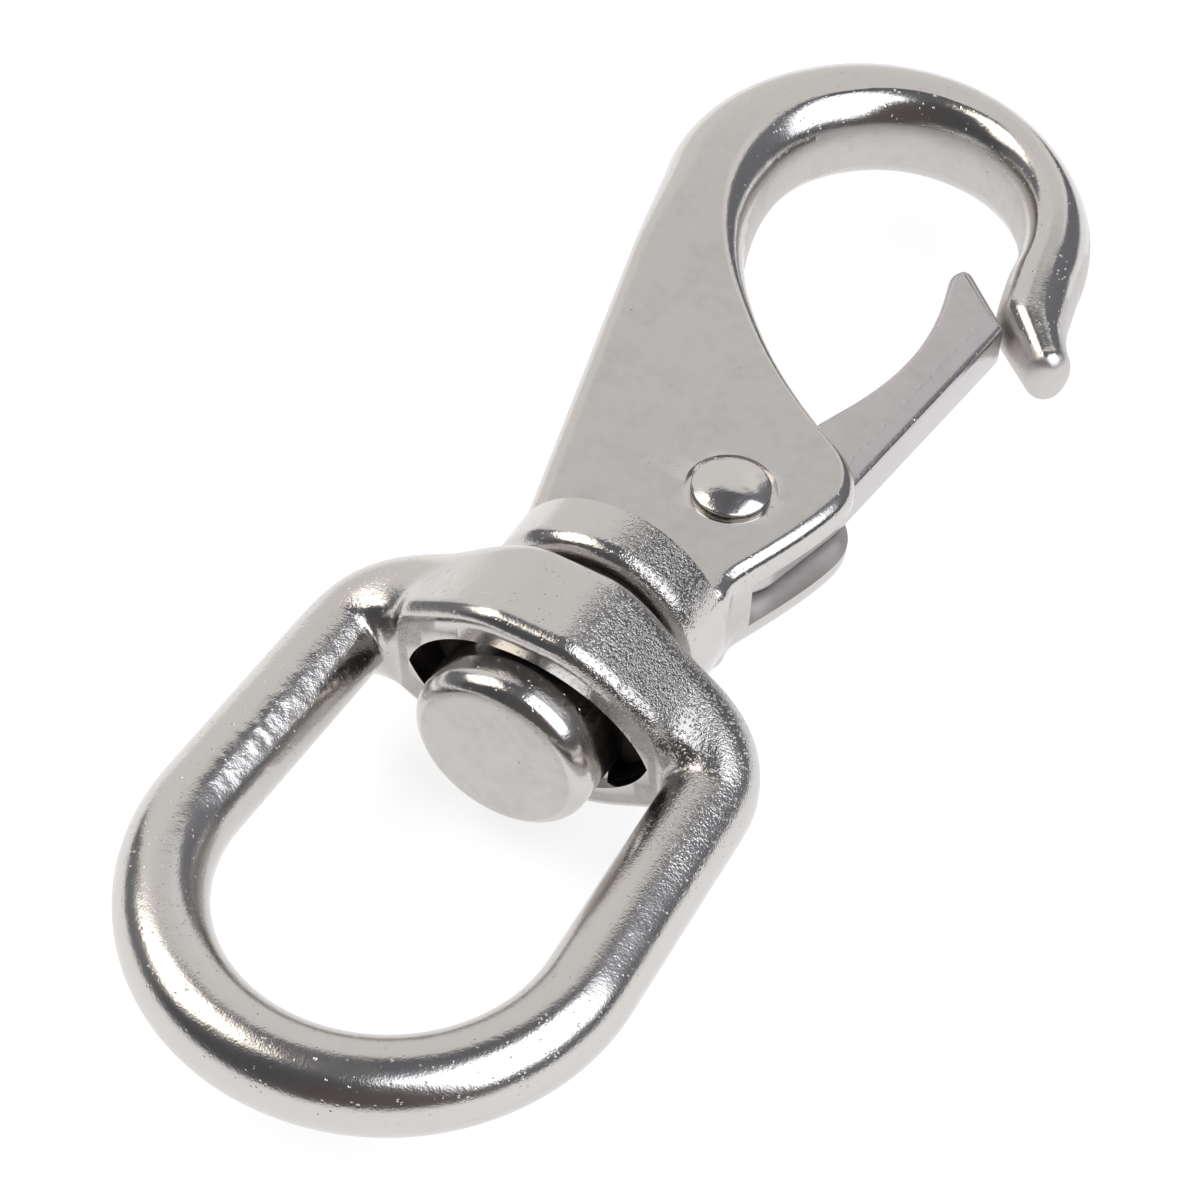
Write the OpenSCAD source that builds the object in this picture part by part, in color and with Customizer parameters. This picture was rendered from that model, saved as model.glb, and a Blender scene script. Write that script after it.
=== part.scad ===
// Swivel snap hook: a cast hook with a sprung gate, turning in a cast eye.
// The swivel axis runs along Y, the hook opens to +X and the thickness is along Z.
// The lowest point of the eye's boss is at z = 0.

/* [Eye] */
// Clear width between the eye's legs
eye_inner_w = 19.6; // [18:0.2:24]
// Diameter of the eye's round bar
eye_bar_d = 5.4; // [4.6:0.1:6.2]
// Straight length of each leg, from the round end to the shoulder
eye_leg = 14.35; // [12:0.05:16]
// Radius of the shoulders, on the middle of the bar
eye_shoulder_r = 3.7; // [3.4:0.05:5]
// How far each leg leans inward at the shoulder
leg_lean = 0.45; // [0:0.05:0.6]

/* [Eye boss] */
// Width over which the cross bar swells into the boss
boss_w = 23.4; // [20:0.2:24]
// Width of the boss's level top
boss_top_w = 3.4; // [1:0.2:5]
// Height of the boss, through the eye's plane
boss_h = 16.4; // [15.6:0.1:18]
// Height of the cross bar beside the boss
cross_h = 7.2; // [6:0.1:7.6]
// Length of the boss along the swivel axis
boss_l = 5.7; // [5.4:0.1:7]
// Rounding of the boss's rim towards the collar
boss_edge_r = 1.1; // [0.5:0.1:1.8]
// Rounding of the boss's rim towards the ring
boss_lip_r = 1.3; // [0.6:0.1:1.7]
// Lean of the boss's face towards the ring at its top, as a slope
boss_lean = 0.16; // [0:0.01:0.2]
// Depth of the lens-shaped seat that holds the swivel's button
seat_depth = 1.2; // [0.8:0.1:2.4]
// Width of the seat, from fold to fold
seat_w = 15.8; // [15:0.1:17]
// Height of the seat at its middle
seat_h = 12.4; // [12:0.1:12.8]

/* [Swivel stem] */
// Diameter of the stem that turns in the boss
stem_d = 7.6; // [6:0.1:9]
// Running clearance round the stem, on the radius
stem_play = 0.08; // [0.03:0.01:0.1]
// Diameter of the button on the stem's end
button_d = 11.4; // [10.6:0.1:11.8]
// Thickness of the button
button_h = 4.9; // [4:0.1:5.8]
// Rounding of the button's rims
button_edge_r = 1.35; // [0.6:0.05:1.7]
// Clearance between the button and its seat, along the axis
button_play = 0.12; // [0.05:0.01:0.3]
// Gap left between the boss and the collar
collar_gap = 1.5; // [0.5:0.05:1.6]
// Diameter of the collar at the foot of the hook
collar_d = 14.3; // [13:0.1:15.4]
// Thickness of the collar
collar_h = 3.9; // [3.2:0.1:5]
// Rounding of the collar's lower rim
collar_edge_r = 1.3; // [0.6:0.1:1.8]

/* [Hook body] */
// Thickness of the hook body
body_t = 7.1; // [6.4:0.1:8.4]
// Rounding of the body's flat faces at their edges
body_edge_r = 1.1; // [0.6:0.1:1.4]
// Width of the body where it leaves the collar
neck_w = 12; // [11:0.1:13]
// Distance of the cheek's corner from the swivel axis
cheek_x = 9.7; // [9:0.1:10.5]
// Distance of the cheek's corner above the collar
cheek_y = 12.5; // [11.8:0.1:14]
// Rounding of the cheek's corner
cheek_corner_r = 2; // [1.2:0.1:2.6]
// Radius of the bowl's inner side, at its top
bowl_r = 8.85; // [8:0.05:10]
// How much narrower the bowl is than a full circle, on each side
bowl_squeeze = 0.55; // [0:0.05:1]
// How far the bowl's inner side stands off the swivel axis
bowl_shift = 0.2; // [0:0.05:0.4]
// Height of the bowl's centre above the collar
bowl_y = 36; // [34.5:0.1:40]
// Width of the bar at the root of the bowl
bar_root_w = 6.2; // [5.4:0.1:7.4]
// Width of the bar from the top of the bowl to the nose
bar_nose_w = 4.3; // [3.8:0.1:5]
// Drop of the nose below the bowl's centre
nose_drop = 6.5; // [5.5:0.1:7]
// Reach of the nose's lip beyond the bowl's inner side
nose_reach = 6.4; // [5.6:0.1:7]
// Thickness of the nose's lip
nose_t = 5; // [4:0.1:6]

/* [Gate] */
// Distance of the gate's pivot from the swivel axis
pivot_x = 3.1; // [2.6:0.1:3.8]
// Height of the gate's pivot above the collar
pivot_y = 7.7; // [7.2:0.1:8.6]
// Width of the slot between the cheeks
slot_w = 3.6; // [2.8:0.1:4]
// Clearance between the gate and each cheek
gate_play = 0.1; // [0.05:0.01:0.2]
// Radius of the gate's round heel
heel_r = 4.2; // [3.6:0.1:4.6]
// Clearance round the heel, inside the slot
heel_gap = 0.5; // [0.3:0.05:0.8]
// Radius of the gate's hollow inner side
gate_hollow_r = 15.9; // [14:0.1:20]
// Width of the gate at its waist
gate_waist_w = 3; // [2.4:0.05:3.4]
// Clearance between the closed gate and the nose
nose_gap = 0.2; // [0.1:0.05:0.4]
// Bevel of the gate's edges
gate_bevel = 0.3; // [0.1:0.05:0.5]
// Depth of the spring's pocket in the gate, behind the pivot
gate_pocket = 0.1; // [0:0.05:0.4]

/* [Rivet] */
// Diameter of the rivet's shank
rivet_d = 3; // [2.4:0.1:3.4]
// Diameter of the rivet's domed heads
rivet_head_d = 4.85; // [4.4:0.05:5.4]
// Height of a head's dome above its rim
rivet_dome_h = 0.8; // [0.5:0.05:1.2]
// Height of a head's straight rim
rivet_rim_h = 0.35; // [0.2:0.05:0.5]
// Running clearance round the shank, on the radius
rivet_play = 0.05; // [0.02:0.01:0.1]
// Depth of the round recess under each head
recess_depth = 0.35; // [0.2:0.05:0.6]
// Gap between a head and the edge of its recess
recess_gap = 0.3; // [0.15:0.05:0.5]

/* [Spring] */
// Outer diameter of the gate's spring
spring_d = 2.2; // [1.8:0.1:2.4]
// Diameter of the spring's wire
spring_wire_d = 0.4; // [0.3:0.05:0.5]
// Number of turns
spring_turns = 7; // [5:1:8]
// Height of the spring above the gate's pivot
spring_y = 5.4; // [5:0.1:6]
// Depth of the spring's blind hole, from the slot's floor
spring_hole = 2.9; // [2.4:0.1:3.6]
// Clearance round the spring and at its two ends
spring_gap = 0.15; // [0.1:0.05:0.25]

/* [Hidden] */

eps = 0.01;
round_fn = 48;
corner_steps = 5;       // facets in each rounded corner of a lofted section

// The eye's places
eye_bar_r = eye_bar_d / 2;
eye_r = eye_inner_w / 2 + eye_bar_r;          // middle of the bar, round end
cross_y = eye_leg + eye_shoulder_r;           // middle of the cross bar
boss_back_y = cross_y - boss_l / 2;
boss_front_y = cross_y + boss_l / 2;
seat_y = boss_back_y + seat_depth;

// The stem's places, along the swivel axis
button_back_y = seat_y - button_play;
button_face_y = button_back_y - button_h;
collar_y = boss_front_y + collar_gap;
collar_top_y = collar_y + collar_h;

// The hook's places
bowl_c = [0, collar_top_y + bowl_y];
pivot = [pivot_x, collar_top_y + pivot_y];
gate_t = slot_w - 2 * gate_play;
nose_y = bowl_c[1] - nose_drop;
slot_top = cheek_y - pivot_y + 9.5;           // past the mouth's edge, above the pivot
slot_x = pivot_x - heel_r - heel_gap;         // floor of the slot
pocket_x = pivot_x - gate_pocket;             // floor of the gate's pocket

// The whole part is centred along Y and stands on the boss
mid_y = (bowl_c[1] + bowl_r + bowl_bar_w(90) - eye_r - eye_bar_r) / 2;
rest_z = boss_h / 2;

// ---- helpers -----------------------------------------------------------

function mix(a, b, t) = a + (b - a) * t;
function unit(v) = v / norm(v);
function polar(c, r, a) = c + r * [cos(a), sin(a)];
function ease(t) = let (u = min(1, max(0, t))) u * u * (3 - 2 * u);
function bezier(p, t) = len(p) == 1
    ? p[0]
    : bezier([for (i = [0:len(p) - 2]) mix(p[i], p[i + 1], t)], t);

// Outline of a bar's section, as [across, up] points. Each corner is a quarter
// ellipse, [across, up], so a corner as large as the half section makes it oval.
// The far side can lean outwards at its top.
function bar_section(half_w, half_h, near_r, far_r, lean = 0) = [
    for (q = [0:3], k = [0:corner_steps])
        let (
            near = q == 0 || q == 3,
            r = near ? near_r : far_r,
            rx = min(r[0], 0.97 * half_w),
            rz = min(r[1], 0.97 * half_h),
            a = 90 * (q + k / corner_steps),
            up = (q < 2 ? 1 : -1) * (half_h - rz) + rz * sin(a)
        )
        [(near ? 1 : -1) * (half_w - rx) + rx * cos(a) - (near ? 0 : lean * up), up]
];

// Place a section at a point of the plan, across the given plan direction
function placed(section, at, across) = [
    for (p = section) [at[0] + across[0] * p[0], at[1] + across[1] * p[0], p[1]]
];

// Skin over rings of points; a loop joins the last ring to the first
module skin(rings, loop = false) {
    n = len(rings);
    m = len(rings[0]);
    sides = [
        for (i = [0:(loop ? n : n - 1) - 1], j = [0:m - 1])
            let (
                k = (i + 1) % n,
                a = i * m + j,
                b = i * m + (j + 1) % m,
                c = k * m + (j + 1) % m,
                d = k * m + j
            )
            each [[a, b, c], [a, c, d]]
    ];
    ends = loop ? [] : [
        [for (j = [m - 1:-1:0]) j],
        [for (j = [0:m - 1]) (n - 1) * m + j]
    ];
    polyhedron([for (ring = rings) each ring], concat(sides, ends));
}

// Turn something drawn round Z so that it runs along the swivel axis, +Y
module along_y(y) {
    translate([0, y, 0]) rotate([-90, 0, 0]) children();
}

// ---- eye ---------------------------------------------------------------

// How far the cross bar has swelled into the boss, from 0 to 1, at this x
function swell(x) = 1 - ease((2 * abs(x) - boss_top_w) / (boss_w - boss_top_w));

// Section of the eye's bar at a point of its path; outwards is the near side
function eye_ring(at, outwards) =
    let (
        g = ease((at[1] - eye_leg) / eye_shoulder_r),
        s = g * swell(at[0]),
        half_w = mix(eye_bar_r, boss_l / 2, g),
        half_h = mix(mix(eye_bar_r, cross_h / 2, g), boss_h / 2, s),
        edge = mix(eye_bar_r, boss_edge_r, s),
        lip = mix(eye_bar_r, boss_lip_r, g)
    )
    placed(bar_section(half_w, half_h, [edge, edge], [lip, lip], g * boss_lean), at, outwards);

// Path of the eye's bar, anticlockwise from the left leg: each item is a
// point and the direction that points out of the loop there
function eye_path() =
    let (x = eye_r - leg_lean - eye_shoulder_r)
    concat(
        [for (a = [180:10:360]) [polar([0, 0], eye_r, a), [cos(a), sin(a)]]],
        [for (a = [0:15:75])
            [polar([x, eye_leg], eye_shoulder_r, a), [cos(a), sin(a)]]],
        [for (k = [0:22]) [[x * (1 - k / 11), cross_y], [0, 1]]],
        [for (a = [105:15:180])
            [polar([-x, eye_leg], eye_shoulder_r, a), [cos(a), sin(a)]]]
    );

// Lens-shaped prism: two round walls that meet in a fold at each side
module seat() {
    side = (seat_w * seat_w / 4 + seat_h * seat_h / 4) / seat_h;
    intersection_for (s = [-1, 1])
        translate([0, 0, s * (side - seat_h / 2)])
            along_y(boss_back_y - seat_depth)
                cylinder(r = side, h = 2 * seat_depth, $fn = 2 * round_fn);
}

module swivel_eye() {
    color("silver") difference() {
        skin([for (p = eye_path()) eye_ring(p[0], p[1])], loop = true);
        seat();
        along_y(cross_y - boss_l)
            cylinder(r = stem_d / 2 + stem_play, h = 2 * boss_l, $fn = round_fn);
    }
}

// ---- hook --------------------------------------------------------------

// Width of the bar at an angle of the bowl: full at the root, thinner to the nose
function bowl_bar_w(a) = mix(bar_nose_w, bar_root_w, ease((a - 45) / 85));

// The bowl's inner side, a little narrower than a full circle
function bowl_in(a) =
    bowl_c + [bowl_shift + (bowl_r - bowl_squeeze) * cos(a), bowl_r * sin(a)];

neck_y = collar_top_y - collar_h / 2;
neck_out = [-neck_w / 2 - 0.05, neck_y];
neck_in = [neck_w / 2 - 0.9, neck_y];
cheek = [cheek_x, collar_top_y + cheek_y];
root_a = 190;
nose_a = 5;
root_out = polar(bowl_c, bowl_r + bowl_bar_w(root_a), root_a);
mouth = [
    mix(cheek, bowl_c, 0.02) + [-cheek_corner_r * 0.85, cheek_corner_r * 0.5],
    cheek + [-11.5, 7.4],
    bowl_in(184) + [0.3, -8.6],
    bowl_in(184)
];
knee = [bowl_c[0] + bowl_r + 1.2, nose_y + 1.7];
lip = [bowl_c[0] + bowl_r + nose_reach, nose_y + 1.8];
toe = lip + [-2.25, -1.95];

// Stations of the hook's loft: outer point, inner point, half thickness,
// and the rounding of the outer and inner edges, from 0 (plate) to 1 (oval bar)
function hook_stations() =
    let (
        half = body_t / 2,
        cheek_in = cheek - [0.1 * cheek_corner_r, cheek_corner_r],
        cheek_side = cheek - [0.5, 0.42 * cheek_y],
        split = 0.42
    )
    concat(
        [for (t = [0:0.25:1])
            [mix(neck_out, root_out, t * 0.34),
             bezier([neck_in, cheek_side, cheek_in], t),
             half, 0, 0]],
        [for (t = [0.33, 0.67])
            [mix(neck_out, root_out, mix(0.34, split, t)),
             bezier([cheek_in, cheek, mouth[0]], t), half, 0, 0]],
        [for (t = [0:0.1:0.9])
            [mix(neck_out, root_out, mix(split, 1, t)),
             bezier(mouth, t), half, 0.5 * ease(2 * t - 1), ease(1.6 * t - 0.6)]],
        [for (k = [0:20])
            let (t = k / 20, a = mix(root_a, nose_a, t))
            [polar(bowl_c, bowl_r + bowl_bar_w(a), a),
             bowl_in(mix(184, 0, t)),
             half, mix(0.5, 1, ease(2 * t)), 1]],
        [for (t = [0.2, 0.4, 0.6, 0.8])
            [bezier(nose_outer(), t * 0.62), bezier(nose_inner(), t), half, 1, 1]],
        [for (t = [0:0.2:1])
            [bezier(nose_outer(), mix(0.62, 1, t)), bezier(nose_under(), t),
             mix(half, nose_t / 2, t), 1, 1]]
    );

function nose_outer() = [
    polar(bowl_c, bowl_r + bar_nose_w, nose_a),
    polar(bowl_c, bowl_r + bar_nose_w, nose_a) + [0.2, -2.6],
    lip + [-1.2, 2.0],
    lip
];
function nose_inner() = [
    bowl_in(0),
    bowl_in(0) + [0, -1.7],
    knee + [-0.8, 1.1],
    knee
];
function nose_under() = [
    knee,
    knee + [0.7, -0.9],
    toe + [-0.7, 0.25],
    toe
];

function hook_ring(s) =
    let (
        across = unit(s[1] - s[0]),
        half_w = norm(s[1] - s[0]) / 2,
        half_h = s[2],
        far = [mix(body_edge_r, half_w, s[3]), mix(body_edge_r, half_h, s[3])],
        near = [mix(body_edge_r, half_w, s[4]), mix(body_edge_r, half_h, s[4])]
    )
    placed(bar_section(half_w, half_h, near, far), (s[0] + s[1]) / 2, across);

// Rings that round off the nose's end
function lip_rings() =
    let (
        last = hook_stations()[len(hook_stations()) - 1],
        mid = (last[0] + last[1]) / 2,
        across = unit(last[1] - last[0]),
        ahead = [-across[1], across[0]],
        half_w = norm(last[1] - last[0]) / 2
    )
    [for (a = [30, 60, 82])
        let (w = half_w * cos(a), h = last[2] * mix(1, cos(a), 0.55))
        placed(bar_section(w, h, [w, h], [w, h]), mid + 0.8 * half_w * sin(a) * ahead, across)];

// Collar, stem and button: one turned profile along the swivel axis
module swivel_stem() {
    along_y(0) rotate_extrude($fn = round_fn)
        polygon(concat(
            [[0, button_face_y], [button_d / 2 - button_edge_r, button_face_y]],
            [for (a = [-60:30:0])
                [button_d / 2 - button_edge_r, button_face_y + button_edge_r]
                + button_edge_r * [cos(a), sin(a)]],
            [for (a = [0:30:90])
                [button_d / 2 - button_edge_r / 2, button_back_y - button_edge_r / 2]
                + button_edge_r / 2 * [cos(a), sin(a)]],
            [[stem_d / 2, button_back_y], [stem_d / 2, collar_y]],
            [for (a = [-90:30:0])
                [collar_d / 2 - collar_edge_r, collar_y + collar_edge_r]
                + collar_edge_r * [cos(a), sin(a)]],
            [[collar_d / 2, collar_top_y], [0, collar_top_y]]
        ));
}

// Space between the cheeks for the gate: round at the heel, open to +X and to the mouth
module gate_slot() {
    r = heel_r + heel_gap;
    translate([pivot[0], pivot[1], -slot_w / 2]) linear_extrude(slot_w) {
        circle(r = r, $fn = round_fn);
        polygon([
            [0, -r], [2 * cheek_x, -r], [2 * cheek_x, slot_top], [-r, slot_top], [-r, 0], [0, 0]
        ]);
    }
}

// Blind hole in the slot's floor that holds the spring
module spring_hole() {
    translate([slot_x - spring_hole, pivot[1] + spring_y, 0]) rotate([0, 90, 0])
        cylinder(d = spring_d + 2 * spring_gap, h = spring_hole + heel_gap, $fn = 32);
}

module rivet_holes() {
    translate([pivot[0], pivot[1], -body_t])
        cylinder(r = rivet_d / 2 + rivet_play, h = 2 * body_t, $fn = round_fn);
    for (s = [-1, 1])
        translate([pivot[0], pivot[1], s * (body_t - recess_depth + eps) / 2])
            cylinder(r = rivet_head_d / 2 + recess_gap, h = recess_depth + eps,
                center = true, $fn = round_fn);
}

module hook_body() {
    color("silver") union() {
        difference() {
            skin(concat([for (s = hook_stations()) hook_ring(s)], lip_rings()));
            gate_slot();
            spring_hole();
            rivet_holes();
        }
        swivel_stem();
    }
}

// ---- gate --------------------------------------------------------------

gate_root = pivot + [heel_r + 1.25, 4.5];
gate_end = knee - nose_gap * unit([1, 1]);    // where the slanted end passes the nose
gate_corner = gate_end + 0.67 * unit([1, -1]);
gate_tip = gate_end + [-4.2, 2.35];
gate_waist = [gate_corner[0] - 0.62 - gate_waist_w, pivot[1] + 18];
gate_edge_a = atan2(gate_corner[1] - gate_root[1], gate_corner[0] - gate_root[0]);

// Plan of the gate: round heel, straight outer side, slanted end and hollow inner side
module gate_outline() {
    difference() {
        union() {
            translate(pivot) circle(r = heel_r, $fn = round_fn);
            polygon([
                polar(pivot, heel_r, -20), gate_root, gate_corner,
                gate_tip + [1.0, 0.8], gate_tip + [0.4, 0.8], gate_tip, gate_tip - [0, 1.4],
                gate_waist - [gate_waist_w, 6], polar(pivot, heel_r + 4.55, 84),
                polar(pivot, heel_r, 148)
            ]);
        }
        translate(gate_waist - [gate_hollow_r, 0]) circle(r = gate_hollow_r, $fn = 3 * round_fn);
    }
}

module gate() {
    color("gainsboro") difference() {
        translate([0, 0, -gate_t / 2]) linear_extrude(gate_t) gate_outline();
        translate([pivot[0], pivot[1], -gate_t])
            cylinder(r = rivet_d / 2 + rivet_play, h = 2 * gate_t, $fn = round_fn);
        translate([pocket_x, pivot[1] + spring_y, 0]) rotate([0, -90, 0])
            cylinder(d = spring_d + 2 * spring_gap, h = heel_r, $fn = 32);
        for (s = [-1, 1])
            translate([gate_root[0], gate_root[1], s * gate_t / 2]) rotate([0, 0, gate_edge_a])
                rotate([45, 0, 0])
                    cube([60, gate_bevel * sqrt(2), gate_bevel * sqrt(2)], center = true);
    }
}

// ---- rivet -------------------------------------------------------------

module gate_rivet() {
    seat_z = body_t / 2 - recess_depth;
    dome_r = (rivet_head_d * rivet_head_d / 4 + rivet_dome_h * rivet_dome_h)
        / (2 * rivet_dome_h);
    half = concat(
        [[rivet_d / 2, 0], [rivet_d / 2, seat_z], [rivet_head_d / 2, seat_z]],
        [for (k = [0:5])
            let (a = mix(asin(rivet_head_d / 2 / dome_r), 0, k / 5))
            [dome_r * sin(a),
             seat_z + rivet_rim_h + rivet_dome_h - dome_r + dome_r * cos(a)]]
    );
    color("lightgray") translate([pivot[0], pivot[1], 0])
        for (s = [0, 1]) mirror([0, 0, s])
            rotate_extrude($fn = round_fn) polygon(concat([[0, 0]], half));
}

// ---- spring ------------------------------------------------------------

module gate_spring() {
    start = slot_x - spring_hole + spring_gap + spring_wire_d / 2;
    length = pocket_x - spring_gap - spring_wire_d / 2 - start;
    coil_r = (spring_d - spring_wire_d) / 2;
    steps = 12;
    pitch = length / spring_turns;
    color("dimgray") translate([start, pivot[1] + spring_y, 0])
        skin([
            for (k = [0:steps * spring_turns])
                let (
                    a = 360 * k / steps,
                    mid = [pitch * a / 360, coil_r * cos(a), coil_r * sin(a)],
                    out = [0, cos(a), sin(a)],
                    along = unit([pitch, -2 * PI * coil_r * sin(a), 2 * PI * coil_r * cos(a)]),
                    side = cross(along, out)
                )
                [for (j = [0:4])
                    mid + spring_wire_d / 2 * (cos(72 * j) * out + sin(72 * j) * side)]
        ]);
}

module placed_part() {
    translate([0, -mid_y, rest_z]) children();
}

placed_part() hook_body();
placed_part() swivel_eye();
placed_part() gate();
placed_part() gate_rivet();
placed_part() gate_spring();
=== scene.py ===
# %% [markdown]
# # A swivel snap hook in cast steel
#
# The part is a sprung hook that turns in a cast eye. The CAD model gives the
# sizes; here each casting is made again as a fine surface, so that the
# polished curves reflect cleanly, and gets the finish of tumbled steel.
# Everything is in metres, in the same frame as the CAD.

# %% Load the frame
import bpy
import numpy as np
from mathutils import Matrix


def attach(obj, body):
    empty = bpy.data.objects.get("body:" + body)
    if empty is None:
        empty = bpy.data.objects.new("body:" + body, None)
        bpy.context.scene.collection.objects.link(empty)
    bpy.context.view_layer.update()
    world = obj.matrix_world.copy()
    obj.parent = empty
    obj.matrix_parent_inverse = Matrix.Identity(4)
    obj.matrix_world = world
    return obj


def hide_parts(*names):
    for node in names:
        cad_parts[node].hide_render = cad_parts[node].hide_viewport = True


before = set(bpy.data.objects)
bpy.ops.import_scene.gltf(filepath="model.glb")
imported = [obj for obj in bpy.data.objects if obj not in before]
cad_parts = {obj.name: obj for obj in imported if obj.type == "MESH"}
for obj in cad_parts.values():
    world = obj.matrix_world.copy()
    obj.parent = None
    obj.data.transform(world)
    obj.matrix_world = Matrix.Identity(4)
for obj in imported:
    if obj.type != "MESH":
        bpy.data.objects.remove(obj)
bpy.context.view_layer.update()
print("CAD nodes:", sorted(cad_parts))

# %% [markdown]
# ## Camera
#
# A short telephoto view from above, a little to the gate's side. The camera
# is placed by its distance and two angles round a point between the hook and
# the eye, and rolled slightly, as a hand-set camera is.

# %% Place the camera
def look_from(azimuth, elevation, roll, target, distance):
    """Camera matrix: back along (sin az cos el, -cos az cos el, sin el),
    then turned by roll about its own line of sight."""
    az, el, ro = np.radians([azimuth, elevation, roll])
    back = np.array([np.sin(az) * np.cos(el), -np.cos(az) * np.cos(el), np.sin(el)])
    side = np.array([np.cos(az), np.sin(az), 0.0])
    up = np.cross(back, side)
    right = side * np.cos(ro) + up * np.sin(ro)
    top = up * np.cos(ro) - side * np.sin(ro)
    matrix = np.eye(4)
    matrix[:3, 0], matrix[:3, 1], matrix[:3, 2] = right, top, back
    matrix[:3, 3] = np.array(target) + back * distance
    return Matrix(matrix.tolist())


lens_data = bpy.data.cameras.new("short_telephoto")
lens_data.lens = 111.6
lens_data.sensor_width = 36
lens_data.clip_start = 0.01
camera = bpy.data.objects.new("short_telephoto", lens_data)
camera.matrix_world = look_from(
    azimuth=26.23, elevation=48.65, roll=3.92, target=(-0.00066, -0.0056, 0.0082), distance=0.22002)
bpy.context.scene.collection.objects.link(camera)
bpy.context.scene.camera = camera
print("camera at", [round(x, 4) for x in camera.location])

# %% [markdown]
# ## Sizes
#
# These are the sizes of the part's source, in millimetres and in the
# drawing's own frame: the middle of the eye's round end is at the origin, Y
# runs up the swivel axis and Z is the thickness. A few forms are worked a
# little finer than in the source: the nose is thinner at its tip, the gate
# meets a softer knee and has rounded rims, the button's seat is 0.4 mm less
# tall and its back edge is sharper, and the rivet has a taller rim under a
# lower dome, in a recess 0.1 mm wider. `to_frame` moves a finished surface
# into the shared frame.

# %% Sizes of the castings
EYE_INNER_W, EYE_BAR_D, EYE_LEG, EYE_SHOULDER_R, LEG_LEAN = 19.6, 5.4, 14.35, 3.7, 0.45
BOSS_W, BOSS_TOP_W, BOSS_H, CROSS_H, BOSS_L = 23.4, 3.4, 16.4, 7.2, 5.7
BOSS_EDGE_R, BOSS_LIP_R, BOSS_LEAN = 1.1, 1.3, 0.16
SEAT_DEPTH, SEAT_W, SEAT_H = 1.2, 15.8, 12.4
STEM_D, STEM_PLAY, BUTTON_D, BUTTON_H, BUTTON_EDGE_R = 7.6, 0.08, 11.4, 4.9, 1.35
COLLAR_D, COLLAR_H, COLLAR_EDGE_R = 14.3, 3.9, 1.3
BODY_T, BODY_EDGE_R, NECK_W, CHEEK_X, CHEEK_Y, CHEEK_CORNER_R = 7.1, 1.1, 12.0, 9.7, 12.5, 2.0
BOWL_R, BOWL_SQUEEZE, BOWL_SHIFT, BAR_ROOT_W, BAR_NOSE_W = 8.85, 0.55, 0.2, 6.2, 4.3
BOWL_LEVEL, NOSE_T, NOSE_RUN = 0.2, 4.0, 12.5
BUTTON_PLAY, COLLAR_GAP = 0.12, 1.5
BOWL_Y, NOSE_DROP, PIVOT_X, PIVOT_Y = 36.0, 6.5, 3.1, 7.7
SLOT_W, HEEL_R, HEEL_GAP, GATE_PLAY = 3.6, 4.2, 0.5, 0.1
RIVET_R, HEAD_R, RIVET_PLAY = 1.5, 4.85 / 2, 0.05
RECESS, HEAD_GAP = 0.35, 0.4
SPRING_Y, SPRING_D, SPRING_WIRE, SPRING_TURNS = 5.4, 2.2, 0.4, 7
SPRING_HOLE, SPRING_GAP, GATE_POCKET = 2.9, 0.15, 0.1

EYE_R = EYE_INNER_W / 2 + EYE_BAR_D / 2
CROSS_Y = EYE_LEG + EYE_SHOULDER_R
BOSS_BACK_Y, BOSS_FRONT_Y = CROSS_Y - BOSS_L / 2, CROSS_Y + BOSS_L / 2
SEAT_Y = BOSS_BACK_Y + SEAT_DEPTH
BUTTON_BACK_Y = SEAT_Y - BUTTON_PLAY
BUTTON_FACE_Y = BUTTON_BACK_Y - BUTTON_H
COLLAR_Y = BOSS_FRONT_Y + COLLAR_GAP
COLLAR_TOP_Y = COLLAR_Y + COLLAR_H
BOWL_C = np.array([0.0, COLLAR_TOP_Y + BOWL_Y])
PIVOT = np.array([PIVOT_X, COLLAR_TOP_Y + PIVOT_Y])
NOSE_Y = BOWL_C[1] - NOSE_DROP
MID_Y, REST_Z = 30.6419, BOSS_H / 2


def to_frame(points):
    """Drawing millimetres to the shared frame's metres."""
    return (np.asarray(points) + [0, -MID_Y, REST_Z]) / 1000


print("collar top at y =", COLLAR_TOP_Y, "mm, bowl centre at y =", BOWL_C[1], "mm")

# %% [markdown]
# ## Making a surface from arrays
#
# A casting like this is a bar whose section changes along a path. That is a
# grid: one direction runs along the path, the other round the section. numpy
# works the whole grid out at once, and one small function turns any such grid
# into a closed mesh. The first helpers blend numbers and place points.

# %% Blend, ease and place points
def mix(a, b, t):
    """a + (b - a) * t."""
    return a + (b - a) * t


def ease(t):
    """Smooth step: 3u^2 - 2u^3, with u held between 0 and 1."""
    u = np.clip(t, 0, 1)
    return u * u * (3 - 2 * u)


def unit(v):
    """Vectors divided by their own length."""
    return v / np.linalg.norm(v, axis=-1, keepdims=True)


def polar(centre, r, degrees):
    """Points at radius r and an angle round a centre."""
    a = np.radians(degrees)
    return np.asarray(centre) + np.stack([r * np.cos(a), r * np.sin(a)], -1)


def bezier(points, t):
    """De Casteljau: mix neighbours by t until one point is left."""
    row = [np.asarray(p, float) * np.ones((len(t), 1)) for p in points]
    while len(row) > 1:
        row = [mix(a, b, t[:, None]) for a, b in zip(row, row[1:])]
    return row[0]


# %% [markdown]
# A path is drawn as arcs and curves with different steps. Resampling it at
# equal steps, and relaxing it a little, takes away the small jumps of
# curvature where they meet, which a polished surface would show as kinks.

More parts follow.
